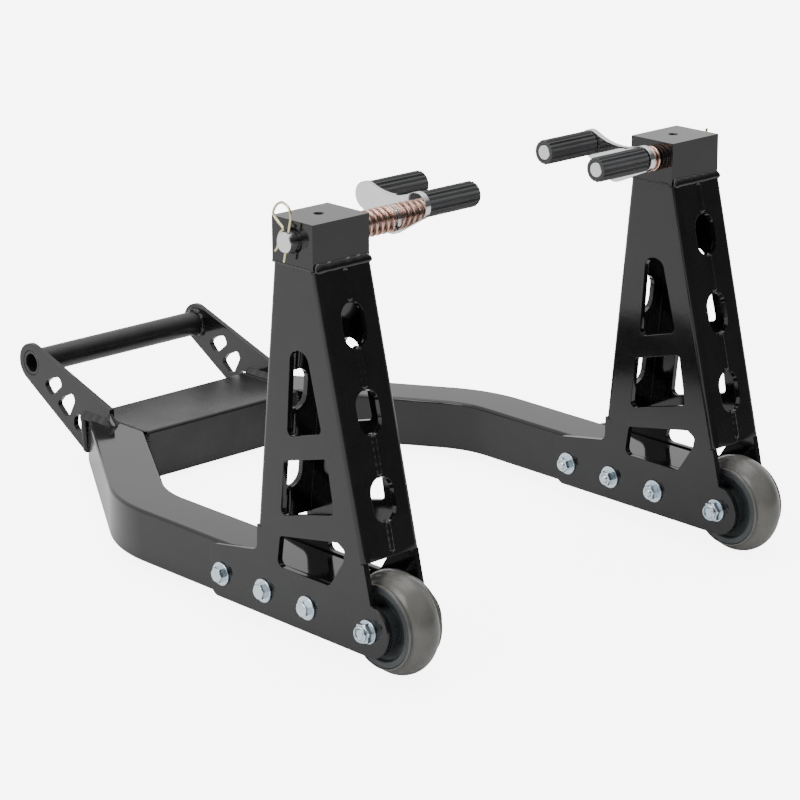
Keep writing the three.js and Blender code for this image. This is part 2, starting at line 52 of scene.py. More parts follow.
ROOM = 0.12

# ---- Camera: azimuth, elevation and roll in degrees, and its place on the level stand ----
CAMERA_ANGLES = (317.087, 17.493, -0.253)
CAMERA_PLACE = (-1435.2, -1362.0, 760.0)

# ---- Sizes, in millimetres ----
TRACK = 347
RAIL_WIDTH = 40.4
RAIL_HEIGHT = 40
RAIL_WALL = 3
RAIL_FRONT_Y = 44
BEND_ANGLE = math.radians(32)
BEND_RADIUS = 95
BEND_CORNER_Y = 274.5
CROSSBAR_HALF = 77.5
CROSSBAR_FRONT_Y = 386.5
CROSSBAR_BACK_Y = 456.5
ARM_THICKNESS = 4.5
ARM_OUTER_X = 87.5
EYE = (522.5, 68.5)
EYE_RADIUS = 16
ARM_FRONT = (421, 52)
HANDLE_RADIUS = 10
HANDLE_BORE = 7.4
UPRIGHT_WIDTH = 50
PLATE = 4.5
FOLD_RADIUS = 5
TOP_Z = 256
FLANGE_Z = 66
FRONT_TOP_Y = 47.9
FRONT_SLOPE = 0.24
REAR_TOP_Y = 92.2
REAR_SLOPE = 0.109
AXLE_Z = 19.5
EAR_RADIUS = 18.7
FOOT_BOTTOM_Z = AXLE_Z - EAR_RADIUS
FOOT_INSET = 2.2
FOOT_BACK_Y = 163.5
HEAD_FRONT_Y = 50.75
HEAD_BACK_Y = 91.65
HEAD_HEIGHT = 31
DRILLED_Y = 73
WHEEL_RADIUS = 36.5
RIM_RADIUS = 28.35
SPINDLE_Y = 70
SPINDLE_Z = 273.5
SPINDLE_RADIUS = 7
SPINDLE_PROUD = 8.5
SPRING_LENGTH = 36.7
COIL_RADIUS = 8.3
COIL_TURNS = 7.5
COIL_WIRE = 1.15
CARRIER_PLATE = 4.5
PEG_SPREAD = 25.5
PEG_RISE = 12
PEG_LENGTH = 47.5
PIN_RADIUS = 5.45
SLEEVE_RADIUS = 8.98
PEG_LOBE = 9.6
SPINDLE_LOBE = 11
LOBE_DIP = 16.2
CLIP_FROM_END = 3
CLIP_WIRE = 0.9
CLIP_HOLE = 1.35
TILTS = {"left": math.radians(-1.5), "right": math.radians(4.8)}
SIDES = (("left", -1), ("right", 1))
FRAME_BOLTS_Y = (61.5, 106.5, 151.5)
FRAME_BOLTS_Z = 19
FRAME_BOLT = dict(radius=2.95, across=10, head=4, nut=5, collar=0, end=6.9, pitch=1, washer=8.45)
AXLE_BOLT = dict(radius=3.95, across=13, head=5.4, nut=4.6, collar=2.3, end=7, pitch=1.25, washer=8.3)

# An upright's windows, as corners (y, z, radius), and an arm's holes, as corners (y, z).
WINDOWS = (
    ((79.5, 136.5, 4), (75, 199, 9), (58.5, 199, 9), (44.5, 146.3, 4)),
    ((87.5, 78.5, 4), (83, 118.5, 2.5), (40, 130, 2.5), (33, 92.5, 4)),
    ((92, 41, 5), (88.5, 63.5, 3), (30, 74, 3), (23, 70, 3), (24.5, 62, 3), (38.5, 41, 5)),
)
ARM_HOLES = (
    ((506, 55), (498.5, 47.5), (493, 49.5), (482.5, 58), (486, 64.5), (497.5, 61)),
    ((489.5, 42), (479.5, 33.5), (473.5, 36), (466, 49), (469, 55), (483, 48.5)),
    ((468.5, 29.5), (465, 24.5), (455, 26), (455, 38), (463, 39.5), (467, 36)),
)


def resting():
    """Where the level stand goes when it rests on its wheels and on the crossbar's back edge."""
    reach = math.hypot(CROSSBAR_BACK_Y, AXLE_Z)
    tilt = math.asin(WHEEL_RADIUS / reach) - math.atan2(AXLE_Z, CROSSBAR_BACK_Y)
    turn = Matrix.Rotation(-tilt, 4, "X")
    axle = turn @ Vector((0, 0, AXLE_Z))
    eye = turn @ Vector((0, *EYE))
    middle_y = (axle.y - WHEEL_RADIUS + eye.y + EYE_RADIUS) / 2
    shift = Vector((0, -middle_y, WHEEL_RADIUS - axle.z))
    return Matrix.Scale(0.001, 4) @ Matrix.Translation(shift) @ turn


STAND = resting()


# ---- Outlines ----
def arc(x, y, radius, start, end, step=math.radians(7.5)):
    """Points along an arc about (x, y), both ends included."""
    count = max(1, math.ceil(abs(end - start) / step - 1e-6))
    angles = [start + (end - start) * i / count for i in range(count + 1)]
    return [(x + radius * math.cos(a), y + radius * math.sin(a)) for a in angles]


def rounded(corners, step=math.radians(11.25)):
    """A closed outline through corners (x, y, radius), with each corner rounded."""
    points = []
    for i, (x, y, radius) in enumerate(corners):
        here = Vector((x, y))
        if not radius:
            points.append((x, y))
            continue
        back = (Vector(corners[i - 1][:2]) - here).normalized()
        ahead = (Vector(corners[(i + 1) % len(corners)][:2]) - here).normalized()
        half = math.acos(max(-1, min(1, back.dot(ahead)))) / 2
        middle = here + (back + ahead).normalized() * radius / math.sin(half)
        a = here + back * radius / math.tan(half) - middle
        b = here + ahead * radius / math.tan(half) - middle
        start = math.atan2(a.y, a.x)
        turn = (math.atan2(b.y, b.x) - start + math.pi) % (2 * math.pi) - math.pi
        points += arc(middle.x, middle.y, radius, start, start + turn, step)
    return points


def circle(x, y, radius, sides=48):
    return arc(x, y, radius, 0, 2 * math.pi, 2 * math.pi / sides)[:-1]


# ---- Meshes ----
def mesh_of(points, faces, name="mesh"):
    mesh = bpy.data.meshes.new(name)
    mesh.from_pydata([tuple(p) for p in points], [], faces)
    tidy_up(mesh)
    return mesh


def tidy_up(mesh, merge=1e-4):
    edit = bmesh.new()
    edit.from_mesh(mesh)
    bmesh.ops.remove_doubles(edit, verts=edit.verts, dist=merge)
    bmesh.ops.recalc_face_normals(edit, faces=edit.faces)
    edit.to_mesh(mesh)
    edit.free()


def plate_mesh(outline, holes, depth, bevel):
    """A flat plate in (x, y), its middle at z = 0, with holes and softened edges."""
    curve = bpy.data.curves.new("plate", "CURVE")
    curve.dimensions = "2D"
    curve.fill_mode = "BOTH"
    curve.extrude = depth / 2 - bevel
    curve.bevel_depth = bevel
    curve.bevel_resolution = 1
    curve.offset = -bevel
    for loop in [outline, *holes]:
        spline = curve.splines.new("POLY")
        spline.points.add(len(loop) - 1)
        for point, (x, y) in zip(spline.points, loop):
            point.co = (x, y, 0, 1)
        spline.use_cyclic_u = True
    holder = bpy.data.objects.new("plate", curve)
    bpy.context.scene.collection.objects.link(holder)
    bpy.context.view_layer.update()
    graph = bpy.context.evaluated_depsgraph_get()
    mesh = bpy.data.meshes.new_from_object(holder.evaluated_get(graph))
    bpy.data.objects.remove(holder)
    bpy.data.curves.remove(curve)
    tidy_up(mesh)
    return mesh


# Stands a plate drawn in (y, z) up, so that its thickness is along X.
ON_EDGE = Matrix(((0, 0, 1, 0), (1, 0, 0, 0), (0, 1, 0, 0), (0, 0, 0, 1)))


def plate_across(outline, holes, from_x, to_x, bevel):
    mesh = plate_mesh(outline, holes, abs(to_x - from_x), bevel)
    mesh.transform(Matrix.Translation(((from_x + to_x) / 2, 0, 0)) @ ON_EDGE)
    return mesh


def lathe(profile, y, z, x, sides=64, radius_at=None):
    """A profile of (radius, x) turned about a line along X. Ends on the axis close themselves."""
    points, faces = [], []
    for r, along in profile:
        for i in range(sides):
            a = 2 * math.pi * i / sides
            radius = radius_at(r, a) if radius_at else r
            points.append((x + along, y + radius * math.cos(a), z + radius * math.sin(a)))
    rows = len(profile)
    closed = profile[0][0] > 1e-6
    for j in range(rows if closed else rows - 1):
        for i in range(sides):
            k = (i + 1) % sides
            n = (j + 1) % rows
            faces.append((j * sides + i, j * sides + k, n * sides + k, n * sides + i))
    return mesh_of(points, faces)


UPWARDS = Vector((0, 0, 1))
LENGTHWISE = Vector((0, 1, 0))
ACROSS = Vector((1, 0, 0))


def sweep(path, section, up=UPWARDS, scale=None):
    """A closed section of (side, up) carried along a path of points, with flat ends."""
    path = [Vector(p) for p in path]
    last = len(path) - 1
    points, faces = [], []
    for i, here in enumerate(path):
        ahead = (path[min(i + 1, last)] - path[max(i - 1, 0)]).normalized()
        side = ahead.cross(up).normalized()
        top = side.cross(ahead)
        k = scale[i] if scale else 1
        points += [here + side * (a * k) + top * (b * k) for a, b in section]
    m = len(section)
    for i in range(last):
        n = i + 1
        for j in range(m):
            k = (j + 1) % m
            faces.append((i * m + j, i * m + k, n * m + k, n * m + j))
    faces.append(tuple(range(m))[::-1])
    faces.append(tuple(last * m + j for j in range(m)))
    return mesh_of(points, faces)


def spread(points, step):
    """The same polyline with points no further apart than step."""
    points = [Vector(p) for p in points]
    out = [points[0]]
    for a, b in zip(points, points[1:]):
        parts = max(1, math.ceil((b - a).length / step))
        out += [a.lerp(b, i / parts) for i in range(1, parts + 1)]
    return out


def weld(points, section, seed, uneven=0.22, ripple=2.2, up=UPWARDS):
    """A bead along a polyline: ripples of uneven height, so far apart, that thin out at both ends."""
    rng = random.Random(seed)
    step = 0.45
    path = spread(points, step)
    phase = rng.uniform(0, 6)
    size = max(abs(value) for point in section for value in point)
    scale, wander = [], []
    for i, point in enumerate(path):
        pulse = math.sin(math.pi * i * step / ripple + phase) ** 2
        lump = noise.noise(Vector((i * step * 0.13, seed * 7.1, 0)))
        ends = min(1, (min(i, len(path) - 1 - i) * step + 0.6) / 3)
        scale.append((1 + uneven * (pulse - 0.5 + lump)) * math.sqrt(ends))
        shift = Vector([noise.noise(Vector((i * 0.06, seed * 3.3, 5 * k))) for k in range(3)])
        wander.append(point + shift * size * 0.6 * uneven)
    return sweep(wander, section, up=up, scale=scale)


def oval(width, height):
    return [(width * a, height * b) for a, b in circle(0, 0, 1, 14)]


def fillet(leg, out):
    """A bead's section in a corner, with one leg along out's side and the other one up."""
    face = [(1, -0.06), (0.74, 0.24), (0.5, 0.46), (0.26, 0.72), (0.04, 1)]
    return [(out * leg * a, leg * b) for a, b in [(-0.3, -0.3), (1, -0.3), *face, (-0.3, 1)]]


def joined(*meshes):
    edit = bmesh.new()
    for mesh in meshes:
        edit.from_mesh(mesh)
        bpy.data.meshes.remove(mesh)
    out = bpy.data.meshes.new("joined")
    edit.to_mesh(out)
    edit.free()
    return out


def cut_off(mesh, point, normal):
    """Takes away what is beyond a plane and closes the cut."""
    edit = bmesh.new()
    edit.from_mesh(mesh)
    everything = edit.verts[:] + edit.edges[:] + edit.faces[:]
    done = bmesh.ops.bisect_plane(edit, geom=everything, plane_co=point, plane_no=normal, clear_outer=True)
    edges = [e for e in done["geom_cut"] if isinstance(e, bmesh.types.BMEdge)]
    bmesh.ops.contextual_create(edit, geom=edges)
    bmesh.ops.recalc_face_normals(edit, faces=edit.faces)
    edit.to_mesh(mesh)
    edit.free()
    return mesh


def carved(mesh, *tools):
    """A mesh with other meshes cut out of it."""
    body = bpy.data.objects.new("body", mesh)
    bpy.context.scene.collection.objects.link(body)
    helpers = []
    for tool in tools:
        helper = bpy.data.objects.new("tool", tool)
        bpy.context.scene.collection.objects.link(helper)
        change = body.modifiers.new("cut", "BOOLEAN")
        change.operation = "DIFFERENCE"
        change.solver = "EXACT"
        change.object = helper
        helpers.append(helper)
    bpy.context.view_layer.update()
    graph = bpy.context.evaluated_depsgraph_get()
    out = bpy.data.meshes.new_from_object(body.evaluated_get(graph))
    for helper in [body, *helpers]:
        bpy.data.objects.remove(helper)
    return out


def add(name, mesh, body, material, nodes=(), angle=35, place=None):
    """Puts a mesh on the resting stand as a piece that rides on a body and stands in for CAD nodes."""
    if place:
        mesh.transform(place)
    mesh.transform(STAND)
    mesh.name = name
    mesh.materials.clear()
    mesh.materials.append(material)
    for polygon in mesh.polygons:
        polygon.use_smooth = True
    mesh.set_sharp_from_angle(angle=math.radians(angle))
    obj = bpy.data.objects.new(name, mesh)
    bpy.context.scene.collection.objects.link(obj)
    even = obj.modifiers.new("normals", "WEIGHTED_NORMAL")
    even.keep_sharp = True
    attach(obj, body)
    if nodes:
        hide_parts(*nodes)
    return obj


# ---- Materials ----
class Nodes:
    """A material's shader, with short ways to add texture to it."""

    def __init__(self, name, **values):
        self.material = bpy.data.materials.new(name)
        self.material.use_nodes = True
        self.tree = self.material.node_tree
        self.shader = self.tree.nodes["Principled BSDF"]
        for socket, value in values.items():
            self.shader.inputs[socket.replace("_", " ")].default_value = value
        self.place = self.tree.nodes.new("ShaderNodeTexCoord").outputs["Object"]

    def make(self, kind, **values):
        node = self.tree.nodes.new(kind)
        for socket, value in values.items():
            node.inputs[socket.replace("_", " ")].default_value = value
        return node

    def join(self, source, target):
        self.tree.links.new(source, target)

    def stretched(self, scale):
        node = self.make("ShaderNodeMapping", Scale=scale)
        self.join(self.place, node.inputs["Vector"])
        return node.outputs["Vector"]

    def noise(self, scale, detail=3, rough=0.5, vector=None):
        node = self.make("ShaderNodeTexNoise", Scale=scale, Detail=detail, Roughness=rough)
        self.join(vector or self.place, node.inputs["Vector"])
        return node.outputs["Fac"]

    def ramp(self, source, low, high, low_value, high_value):
        ends = dict(From_Min=low, From_Max=high, To_Min=low_value, To_Max=high_value)
        node = self.make("ShaderNodeMapRange", **ends)
        self.join(source, node.inputs["Value"])
        return node.outputs["Result"]

    def mix(self, factor, first, second):
        node = self.tree.nodes.new("ShaderNodeMix")
        node.data_type = "RGBA"
        node.inputs[6].default_value = (*first, 1)
        node.inputs[7].default_value = (*second, 1)
        self.join(factor, node.inputs[0])
        return node.outputs[2]

    def bump(self, height, strength, distance):
        node = self.make("ShaderNodeBump", Strength=strength, Distance=distance)
        self.join(height, node.inputs["Height"])
        return node.outputs["Normal"]

    def roughness(self, source):
        self.join(source, self.shader.inputs["Roughness"])

    def colour(self, source):
        self.join(source, self.shader.inputs["Base Color"])

    def normal(self, source):
        self.join(source, self.shader.inputs["Normal"])


def paint(name, colour, rough, peel):
    """Sprayed and baked enamel: a faint orange peel, and fine dust where it has settled."""
    n = Nodes(name, Base_Color=(*colour, 1), Metallic=0.0, Roughness=rough, IOR=1.5)
    n.roughness(n.ramp(n.noise(35, 4), 0.3, 0.7, rough * 0.8, rough * 1.25))
    lighter = [c * 1.4 + 0.001 for c in colour]
    n.colour(n.mix(n.ramp(n.noise(60, 5), 0.35, 0.75, 0, 1), colour, lighter))
    n.normal(n.bump(n.noise(160, 2), peel, 0.0003))
    return n.material


def steel(name, colour, rough, stretch, tint=0.9, grain=0.25):
    """Bare or plated metal: drawn lines along one direction, and a patchy dullness."""
    n = Nodes(name, Base_Color=(*colour, 1), Metallic=1.0, Roughness=rough)
    lines = n.noise(400, 4, vector=n.stretched(stretch))
    patches = n.noise(90, 4)
    n.roughness(n.ramp(patches, 0.3, 0.7, rough * 0.8, rough * 1.3))
    n.colour(n.mix(n.ramp(patches, 0.3, 0.75, 0, 1), colour, [c * tint for c in colour]))
    n.normal(n.bump(lines, grain, 0.0001))
    return n.material


def moulded(name, colour, rough, grain, scale=700):
    """Rubber or plastic from a mould: a fine matt grain with smoother, greyer patches."""
    n = Nodes(name, Base_Color=(*colour, 1), Metallic=0.0, Roughness=rough)
    n.roughness(n.ramp(n.noise(70, 5), 0.3, 0.7, rough * 0.85, rough * 1.15))
    n.colour(n.mix(n.ramp(n.noise(45, 5), 0.35, 0.75, 0, 1), colour, [c * 1.3 + 0.003 for c in colour]))
    n.normal(n.bump(n.noise(scale, 3), grain, 0.0002))
    return n.material


PAINT = paint("gloss_paint", (0.006, 0.006, 0.0065), 0.1, 0.07)
SOFTER_PAINT = paint("softer_paint", (0.012, 0.012, 0.0125), 0.3, 0.02)
SATIN = paint("handle_paint", (0.012, 0.012, 0.0125), 0.3, 0.35)
ZINC = steel("zinc", (0.72, 0.82, 0.90), 0.26, (1, 1, 1), 0.86, 0.15)
STEEL = steel("carrier_steel", (0.74, 0.74, 0.75), 0.22, (1, 12, 12), 0.94, 0.12)
CHROME = steel("chrome", (0.80, 0.80, 0.81), 0.06, (1, 1, 1), 0.97, 0.04)
COPPER = steel("copper", (0.78, 0.50, 0.40), 0.12, (1, 1, 1), 0.85, 0.08)
CLIP = steel("clip_steel", (0.72, 0.66, 0.40), 0.25, (1, 1, 1), 0.85, 0.15)
TYRE = moulded("tyre_rubber", (0.115, 0.113, 0.104), 0.25, 0.12)
HUB = moulded("hub_plastic", (0.045, 0.052, 0.055), 0.4, 0.15)
SLEEVE = moulded("sleeve_rubber", (0.03, 0.031, 0.033), 0.42, 0.25)


# ---- Rails, crossbar and handle ----
def rail_path():
    """The rail's centre line on the right side, from its front end to beyond its mitre."""
    bend_y = BEND_CORNER_Y - BEND_RADIUS * math.tan(BEND_ANGLE / 2)
    bend = arc(TRACK / 2 - BEND_RADIUS, bend_y, BEND_RADIUS, 0, BEND_ANGLE, math.radians(2))
    last_x, last_y = bend[-1]
    run = 170
    end = (last_x - run * math.sin(BEND_ANGLE), last_y + run * math.cos(BEND_ANGLE))
    return [(TRACK / 2, RAIL_FRONT_Y), *bend, end]


def tube_section(width, height, radius):
    half_w, half_h = width / 2, height / 2
    corners = [(half_w, half_h), (-half_w, half_h), (-half_w, -half_h), (half_w, -half_h)]
    return rounded([(x, y, radius) for x, y in corners], math.radians(22.5))


def rail_mesh(side):
    middle_z = RAIL_HEIGHT / 2
    path = [(side * x, y, middle_z) for x, y in rail_path()]
    outside = tube_section(RAIL_WIDTH, RAIL_HEIGHT, 2.6)
    inside = tube_section(RAIL_WIDTH - 2 * RAIL_WALL, RAIL_HEIGHT - 2 * RAIL_WALL, 1)
    solid = sweep(path, outside)
    cut_off(solid, (side * (CROSSBAR_HALF + 0.3), 0, 0), (-side, 0, 0))
    cut_off(solid, (0, CROSSBAR_BACK_Y, 0), (0, 1, 0))
    front = Vector(path[0]) - Vector((0, 5, 0))
    core = sweep([front, *path[:4]], inside)
    return carved(solid, core)


def arm_mesh(side):
    seat, back, toe = RAIL_HEIGHT + 0.3, CROSSBAR_BACK_Y + 0.3, 11
    radius = EYE_RADIUS - 0.1

    def touch(y, z, turn):
        away = math.atan2(z - EYE[1], y - EYE[0])
        return away + turn * math.acos(radius / math.hypot(y - EYE[0], z - EYE[1]))

    tip_y, tip_z = ARM_FRONT
    eye = arc(*EYE, radius, touch(back, toe, 1), touch(tip_y, tip_z, -1) + 2 * math.pi)
    outline = [(tip_y, seat), (back, seat), (back, toe), *eye, (tip_y, tip_z)]
    *closed, through_back = [rounded([(y, z, 3) for y, z in corners]) for corners in ARM_HOLES]
    holes = [*closed, circle(*EYE, HANDLE_RADIUS + 0.2)]
    plate = plate_across(outline, holes, side * (ARM_OUTER_X - ARM_THICKNESS), side * ARM_OUTER_X, 0.35)
    return carved(plate, plate_across(through_back, [], side * 75, side * 95, 0.05))


def build_frame():
    for name, side in SIDES:
        add(f"{name}_rail_tube", rail_mesh(side), "frame", PAINT, [f"{name}_rail"])
        add(f"{name}_arm", arm_mesh(side), "frame", PAINT, [f"{name}_handle_arm"])
    middle = (CROSSBAR_FRONT_Y + CROSSBAR_BACK_Y) / 2
    section = tube_section(CROSSBAR_BACK_Y - CROSSBAR_FRONT_Y, RAIL_HEIGHT, 2.6)
    path = [(-CROSSBAR_HALF, middle, RAIL_HEIGHT / 2), (CROSSBAR_HALF, middle, RAIL_HEIGHT / 2)]
    add("crossbar_tube", sweep(path, section), "frame", SOFTER_PAINT, ["crossbar"])
    length = ARM_OUTER_X
    ring = [
        (HANDLE_BORE, -length + 0.5), (HANDLE_BORE + 0.5, -length), (HANDLE_RADIUS - 0.5, -length),
        (HANDLE_RADIUS, -length + 0.5), (HANDLE_RADIUS, length - 0.5), (HANDLE_RADIUS - 0.5, length),
        (HANDLE_BORE + 0.5, length), (HANDLE_BORE, length - 0.5),
    ]
    add("handle", lathe(ring, *EYE, 0, 64), "frame", SATIN, ["handle_tube"])


# ---- Uprights ----
def front_y(z):
    return FRONT_TOP_Y - FRONT_SLOPE * (TOP_Z - z)


def rear_y(z):
    return REAR_TOP_Y + REAR_SLOPE * (TOP_Z - z)


FOLD_MIDDLE = FOLD_RADIUS - PLATE / 2
FOLD_LENGTH = math.pi / 2 * FOLD_MIDDLE
SEAM_EDGE = FOLD_LENGTH + UPRIGHT_WIDTH / 2 - PLATE / 2 - FOLD_MIDDLE - 0.15
RELIEF = 0.25
SLOT_RADIUS = 10
SLOT_STRAIGHT = 5
SLOTS_Z = (217.7, 160.4, 103.1)


class Fold:
    """One leaning fold of an upright's plate, drawn on the flat pattern in (y, z)."""

    def __init__(self, edge, out, inset):
        self.edge = edge
        self.out = Vector(out).normalized()
        self.inset = inset

    def point(self, z, beyond):
        """So far beyond the fold's start, level with the flange's outer face at height z."""
        return tuple(Vector((self.edge(z), z)) + self.out * (beyond - FOLD_RADIUS))

    def flange(self):
        """The flat pattern's outline round the flange, from its top to its foot."""
        rise = FOLD_RADIUS * self.out.y
        points = [self.point(TOP_Z + rise, 0), self.point(TOP_Z, 0), self.point(TOP_Z, SEAM_EDGE)]
        for z in SLOTS_Z:
            upper = arc(0, 0, SLOT_RADIUS, math.pi / 2, 0, math.radians(11.25))
            corner = [(SEAM_EDGE - a, z + SLOT_STRAIGHT + b) for a, b in upper]
            corner += [(SEAM_EDGE - a, z - SLOT_STRAIGHT - b) for a, b in upper[::-1]]
            points += [self.point(level, beyond) for beyond, level in corner]
        points += [self.point(FLANGE_Z, SEAM_EDGE), self.point(FLANGE_Z, 0)]
        points += [self.point(FLANGE_Z - RELIEF, 0), self.point(FLANGE_Z - RELIEF, FOLD_RADIUS - self.inset)]
        return points

    def beyond(self, y, z):
        """How far a point of the pattern is beyond the fold's start, or 0 in the foot, which stays flat."""
        level = Vector((-self.out.y, self.out.x)) * (1 if self.out.x > 0 else -1)
        foot = Vector(self.point(FLANGE_Z - RELIEF / 2, 0))
        if (Vector((y, z)) - foot).dot(level) < 0:
            return 0
        return max(0, (Vector((y, z)) - Vector(self.point(FLANGE_Z, 0))).dot(self.out))

    def carry(self, y, z, n, beyond):
        """Where the fold takes a point at depth n in the plate, as (x from the seam, y, z)."""
        base = Vector((y, z)) - self.out * beyond
        centre = UPRIGHT_WIDTH / 2 - PLATE / 2 - FOLD_MIDDLE
        if beyond < FOLD_LENGTH:
            angle = beyond / FOLD_MIDDLE
            at = base + self.out * ((FOLD_MIDDLE + n) * math.sin(angle))
            return centre + (FOLD_MIDDLE + n) * math.cos(angle), at.x, at.y
        at = base + self.out * (FOLD_MIDDLE + n)
        return centre - (beyond - FOLD_LENGTH), at.x, at.y


FRONT_FOLD = Fold(front_y, (-1, FRONT_SLOPE), FOOT_INSET)
REAR_FOLD = Fold(rear_y, (1, REAR_SLOPE), 0)


def upright_pattern():
    ear_top = math.acos((front_y(AXLE_Z + EAR_RADIUS) + FOOT_INSET) / EAR_RADIUS)
    bottom = FOOT_BOTTOM_Z
    corners = [(0, bottom, 0), (FOOT_BACK_Y, bottom, 7), (FOOT_BACK_Y, 38, 3)]
    corners += [(158, 39.5, 2), (113.3, 47, 6), (112, 80, 0)]
    back = rounded(corners)
    foot = [*back[1:-1][::-1], *arc(0, AXLE_Z, EAR_RADIUS, -math.pi / 2, ear_top - 2 * math.pi)]
    return [*REAR_FOLD.flange(), *foot, *FRONT_FOLD.flange()[::-1]]


def upright_mesh(middle_x, out):
    holes = [rounded(corners) for corners in WINDOWS]
    mesh = plate_mesh(upright_pattern(), holes, PLATE, 0.45)
    edit = bmesh.new()
    edit.from_mesh(mesh)
    for fold in (FRONT_FOLD, REAR_FOLD):
        for i in range(9):
            y, z = fold.point(TOP_Z, FOLD_LENGTH * i / 8)
            everything = edit.verts[:] + edit.edges[:] + edit.faces[:]
            bmesh.ops.bisect_plane(edit, geom=everything, plane_co=(y, z, 0), plane_no=(*fold.out, 0))
    for vertex in edit.verts:
        y, z, n = vertex.co
        u = UPRIGHT_WIDTH / 2 - PLATE / 2 + n
        for fold in (FRONT_FOLD, REAR_FOLD):
            beyond = fold.beyond(y, z)
            if beyond > 1e-4:
                u, y, z = fold.carry(y, z, n, beyond)
                break
        vertex.co = (middle_x + out * u, y, z)
    bmesh.ops.recalc_face_normals(edit, faces=edit.faces)
    edit.to_mesh(mesh)
    edit.free()
    return mesh


def head_mesh(middle_x):
    """The block, with the spindle's bore through it and a chamfered hole drilled from above."""
    low, high = TOP_Z + 0.3, TOP_Z + HEAD_HEIGHT
    front, back = HEAD_FRONT_Y, HEAD_BACK_Y
    outline = [(front, low), (back, low), (back, high), (front, high)]
    block = plate_across(outline, [], middle_x - UPRIGHT_WIDTH / 2, middle_x + UPRIGHT_WIDTH / 2, 0.5)
    mouth = [(0, 30), (9, 30), (9, 24.2), (7.5, 22.9)]
    shaft = [(r, -along) for r, along in mouth] + mouth[::-1]
    bore = lathe(shaft, SPINDLE_Y, SPINDLE_Z, middle_x)
    drill = lathe([(0, 0), (3.2, 0), (3.2, 12.7), (4, 13.7), (4, 16), (0, 16)], 0, 0, 0, 32)
    upright = Matrix.Rotation(-math.pi / 2, 4, "Y")
    drill.transform(Matrix.Translation((middle_x, DRILLED_Y, SPINDLE_Z)) @ upright)
    return carved(block, bore, drill)


# ---- Fasteners ----
def hexagon(across):
    """A radius for each angle that draws a hexagon, but never beyond the radius given."""
    def radius_at(limit, angle):
        turn = (angle + math.pi / 6) % (math.pi / 3) - math.pi / 6
        return min(limit, across / 2 / math.cos(turn))
    return radius_at


def washer_mesh(x, facing, y, z, radius, bore, thickness):
    ring = [
        (bore, 0), (bore, thickness - 0.2), (bore + 0.3, thickness), (radius - 0.35, thickness),
        (radius, thickness - 0.3), (radius, 0.2), (radius - 0.2, 0),
    ]
    return lathe([(r, facing * along) for r, along in ring], y, z, x, 56)


def head_of_bolt(bolt, x, facing, y, z):
    across, height = bolt["across"], bolt["head"]
    half, tip = across / 2, across / math.sqrt(3)
    rise = [(0, 0), (tip, 0), (tip, 0.1), (tip, height - 0.9)]
    rise += [(half + 0.3, height - 0.3), (half - 0.3, height)]
    dish = [(half - 0.9, height - 0.05), (half - 1.4, height - 0.3), (0, height - 0.3)]
    profile = [(r, facing * along) for r, along in rise + dish]
    return lathe(profile, y, z, x, 96, hexagon(across))


def nut_mesh(bolt, x, facing, y, z):
    """A hexagon nut, with a locking nut's round collar if the bolt has one."""
    across, height, bore = bolt["across"], bolt["nut"], bolt["radius"] + 0.05
    half, tip = across / 2, across / math.sqrt(3)
    rise = [(bore, 0.6), (bore + 0.6, 0), (half, 0), (tip, 0.6), (tip, height - 0.6), (half - 0.1, height)]
    top = height + bolt["collar"]
    if bolt["collar"]:
        rise += [(half - 0.7, height + 0.1), (half - 0.7, top - 0.7), (half - 1.2, top), (half - 1.8, top)]
        rise += [(half - 2, top - 0.5), (half - 2.1, top - 1.6), (bore, top - 1.6)]
    else:
        rise += [(bore + 0.6, height), (bore, height - 0.6)]
    return lathe([(r, facing * along) for r, along in rise], y, z, x, 96, hexagon(across))


def thread_end(bolt, x, facing, y, z, start, length):
    """The threaded end of a bolt: a helical ridge on a core, with a chamfered tip."""
    pitch, outer, depth, sides = bolt["pitch"], bolt["radius"], bolt["pitch"] / 2, 48
    points, faces = [], []
    rows = max(2, round(length / pitch * 8))
    for j in range(rows + 1):
        along = start + length * j / rows
        for i in range(sides):
            a = 2 * math.pi * i / sides
            wave = abs(((along / pitch - i / sides) % 1) * 2 - 1)
            fade = min(1, max(0, (length + start - along) / 0.9))
            radius = outer - depth * (1 - wave) - 0.7 * (1 - fade)
            points.append((x + facing * along, y + radius * math.cos(a), z + radius * math.sin(a)))
    for j in range(rows):
        for i in range(sides):
            k = (i + 1) % sides
            faces.append((j * sides + i, j * sides + k, (j + 1) * sides + k, (j + 1) * sides + i))
    faces.append(tuple(rows * sides + i for i in range(sides)))
    faces.append(tuple(range(sides))[::-1])
    return mesh_of(points, faces)


def build_bolt(name, bolt, middle_x, headward, y, z, nodes, turn):
    """A bolt whose head faces along headward, and the nut on its other end."""
    face = middle_x + headward * (UPRIGHT_WIDTH / 2 + 0.1)
    back = middle_x - headward * (UPRIGHT_WIDTH / 2 + 0.1)
    twist = Matrix.Translation((0, y, z)) @ Matrix.Rotation(turn, 4, "X") @ Matrix.Translation((0, -y, -z))
    bolt_node, nut_node = nodes
    radius = bolt["radius"]
    length = UPRIGHT_WIDTH + 2
    shank = [(0, 0), (radius, 0), (radius, -headward * length), (0, -headward * length)]
    head = joined(
        washer_mesh(face, headward, y, z, bolt["washer"], radius + 0.3, 1.6),
        head_of_bolt(bolt, face + headward * 1.6, headward, y, z),
        lathe(shank, y, z, face, 32),
    )
    add(name, head, "frame", ZINC, [bolt_node], 30, place=twist)
    nut = joined(
        washer_mesh(back, -headward, y, z, bolt["washer"], radius + 0.3, 1.6),
        nut_mesh(bolt, back - headward * 1.6, -headward, y, z),
        thread_end(bolt, back, -headward, y, z, 1, bolt["end"]),
    )
    add(f"{name}_nut", nut, "frame", ZINC, [nut_node], 30, place=twist)


